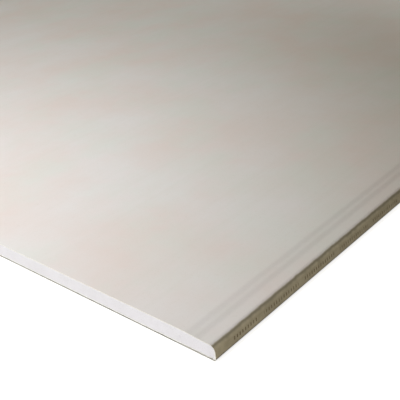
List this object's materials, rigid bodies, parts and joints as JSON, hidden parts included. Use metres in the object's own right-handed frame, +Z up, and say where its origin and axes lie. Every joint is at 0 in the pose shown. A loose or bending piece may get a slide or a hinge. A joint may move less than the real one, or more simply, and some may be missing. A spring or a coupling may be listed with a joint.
{
  "type": "drywall sheet",
  "caption": "Full drywall sheet lying face up: gypsum core between a wrapped face paper and a back paper, tapered rounded long edges and square sawn ends.",
  "frame": {"origin": "centre of the back, on the surface that the sheet lies on", "axes": "+X across the width, +Y along the length and the tapered edges, +Z up out of the face"},
  "size_m": [1.2, 2.4, 0.0125],
  "materials": {
    "gypsum": "sawn, matt and finely porous",
    "face_paper": "smooth matt ivory liner board",
    "back_paper": "rough matt grey-brown liner board"
  },
  "bodies": {
    "root": {"gypsum_core": "gypsum", "face_paper": "face_paper", "back_paper": "back_paper"}
  },
  "joints": []
}
